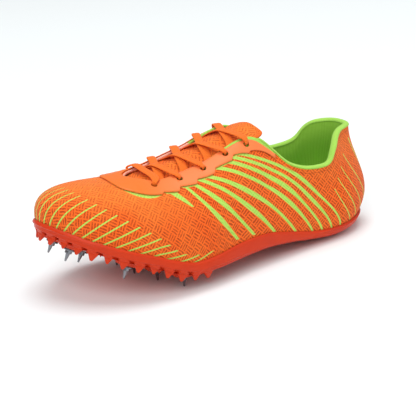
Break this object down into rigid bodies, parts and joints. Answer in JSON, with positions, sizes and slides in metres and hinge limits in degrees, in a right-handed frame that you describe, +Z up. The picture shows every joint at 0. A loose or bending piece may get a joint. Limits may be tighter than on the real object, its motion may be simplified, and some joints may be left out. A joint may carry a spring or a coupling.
{
  "type": "track and field shoe",
  "caption": "Left track and field shoe for running events: low hollow cloth upper, laced throat, stiff sole with toe spring and pin spikes under the forefoot.",
  "frame": {"origin": "on the floor, under the middle of the shoe's box", "axes": "+X from the heel to the toe, +Y to the outer side of the left foot, +Z up"},
  "size_m": [0.2778, 0.1, 0.0993],
  "materials": {
    "sole_rubber": "moulded, satin red-orange",
    "upper_cloth": "woven cloth, matte orange",
    "eyestay_film": "smooth film, matte peach-orange",
    "lining_cloth": "soft knit, matte lime",
    "lace_cord": "flat woven lace, matte orange",
    "spike_steel": "turned steel"
  },
  "bodies": {
    "root": {"outsole": "sole_rubber", "upper": "upper_cloth", "tongue": "upper_cloth", "eyestay": "eyestay_film", "collar_binding": "lining_cloth", "insole": "lining_cloth", "lace": "lace_cord", "spike_1": "spike_steel", "spike_2": "spike_steel", "spike_3": "spike_steel", "spike_4": "spike_steel", "spike_5": "spike_steel", "spike_6": "spike_steel", "spike_7": "spike_steel", "spike_8": "spike_steel"}
  },
  "joints": []
}
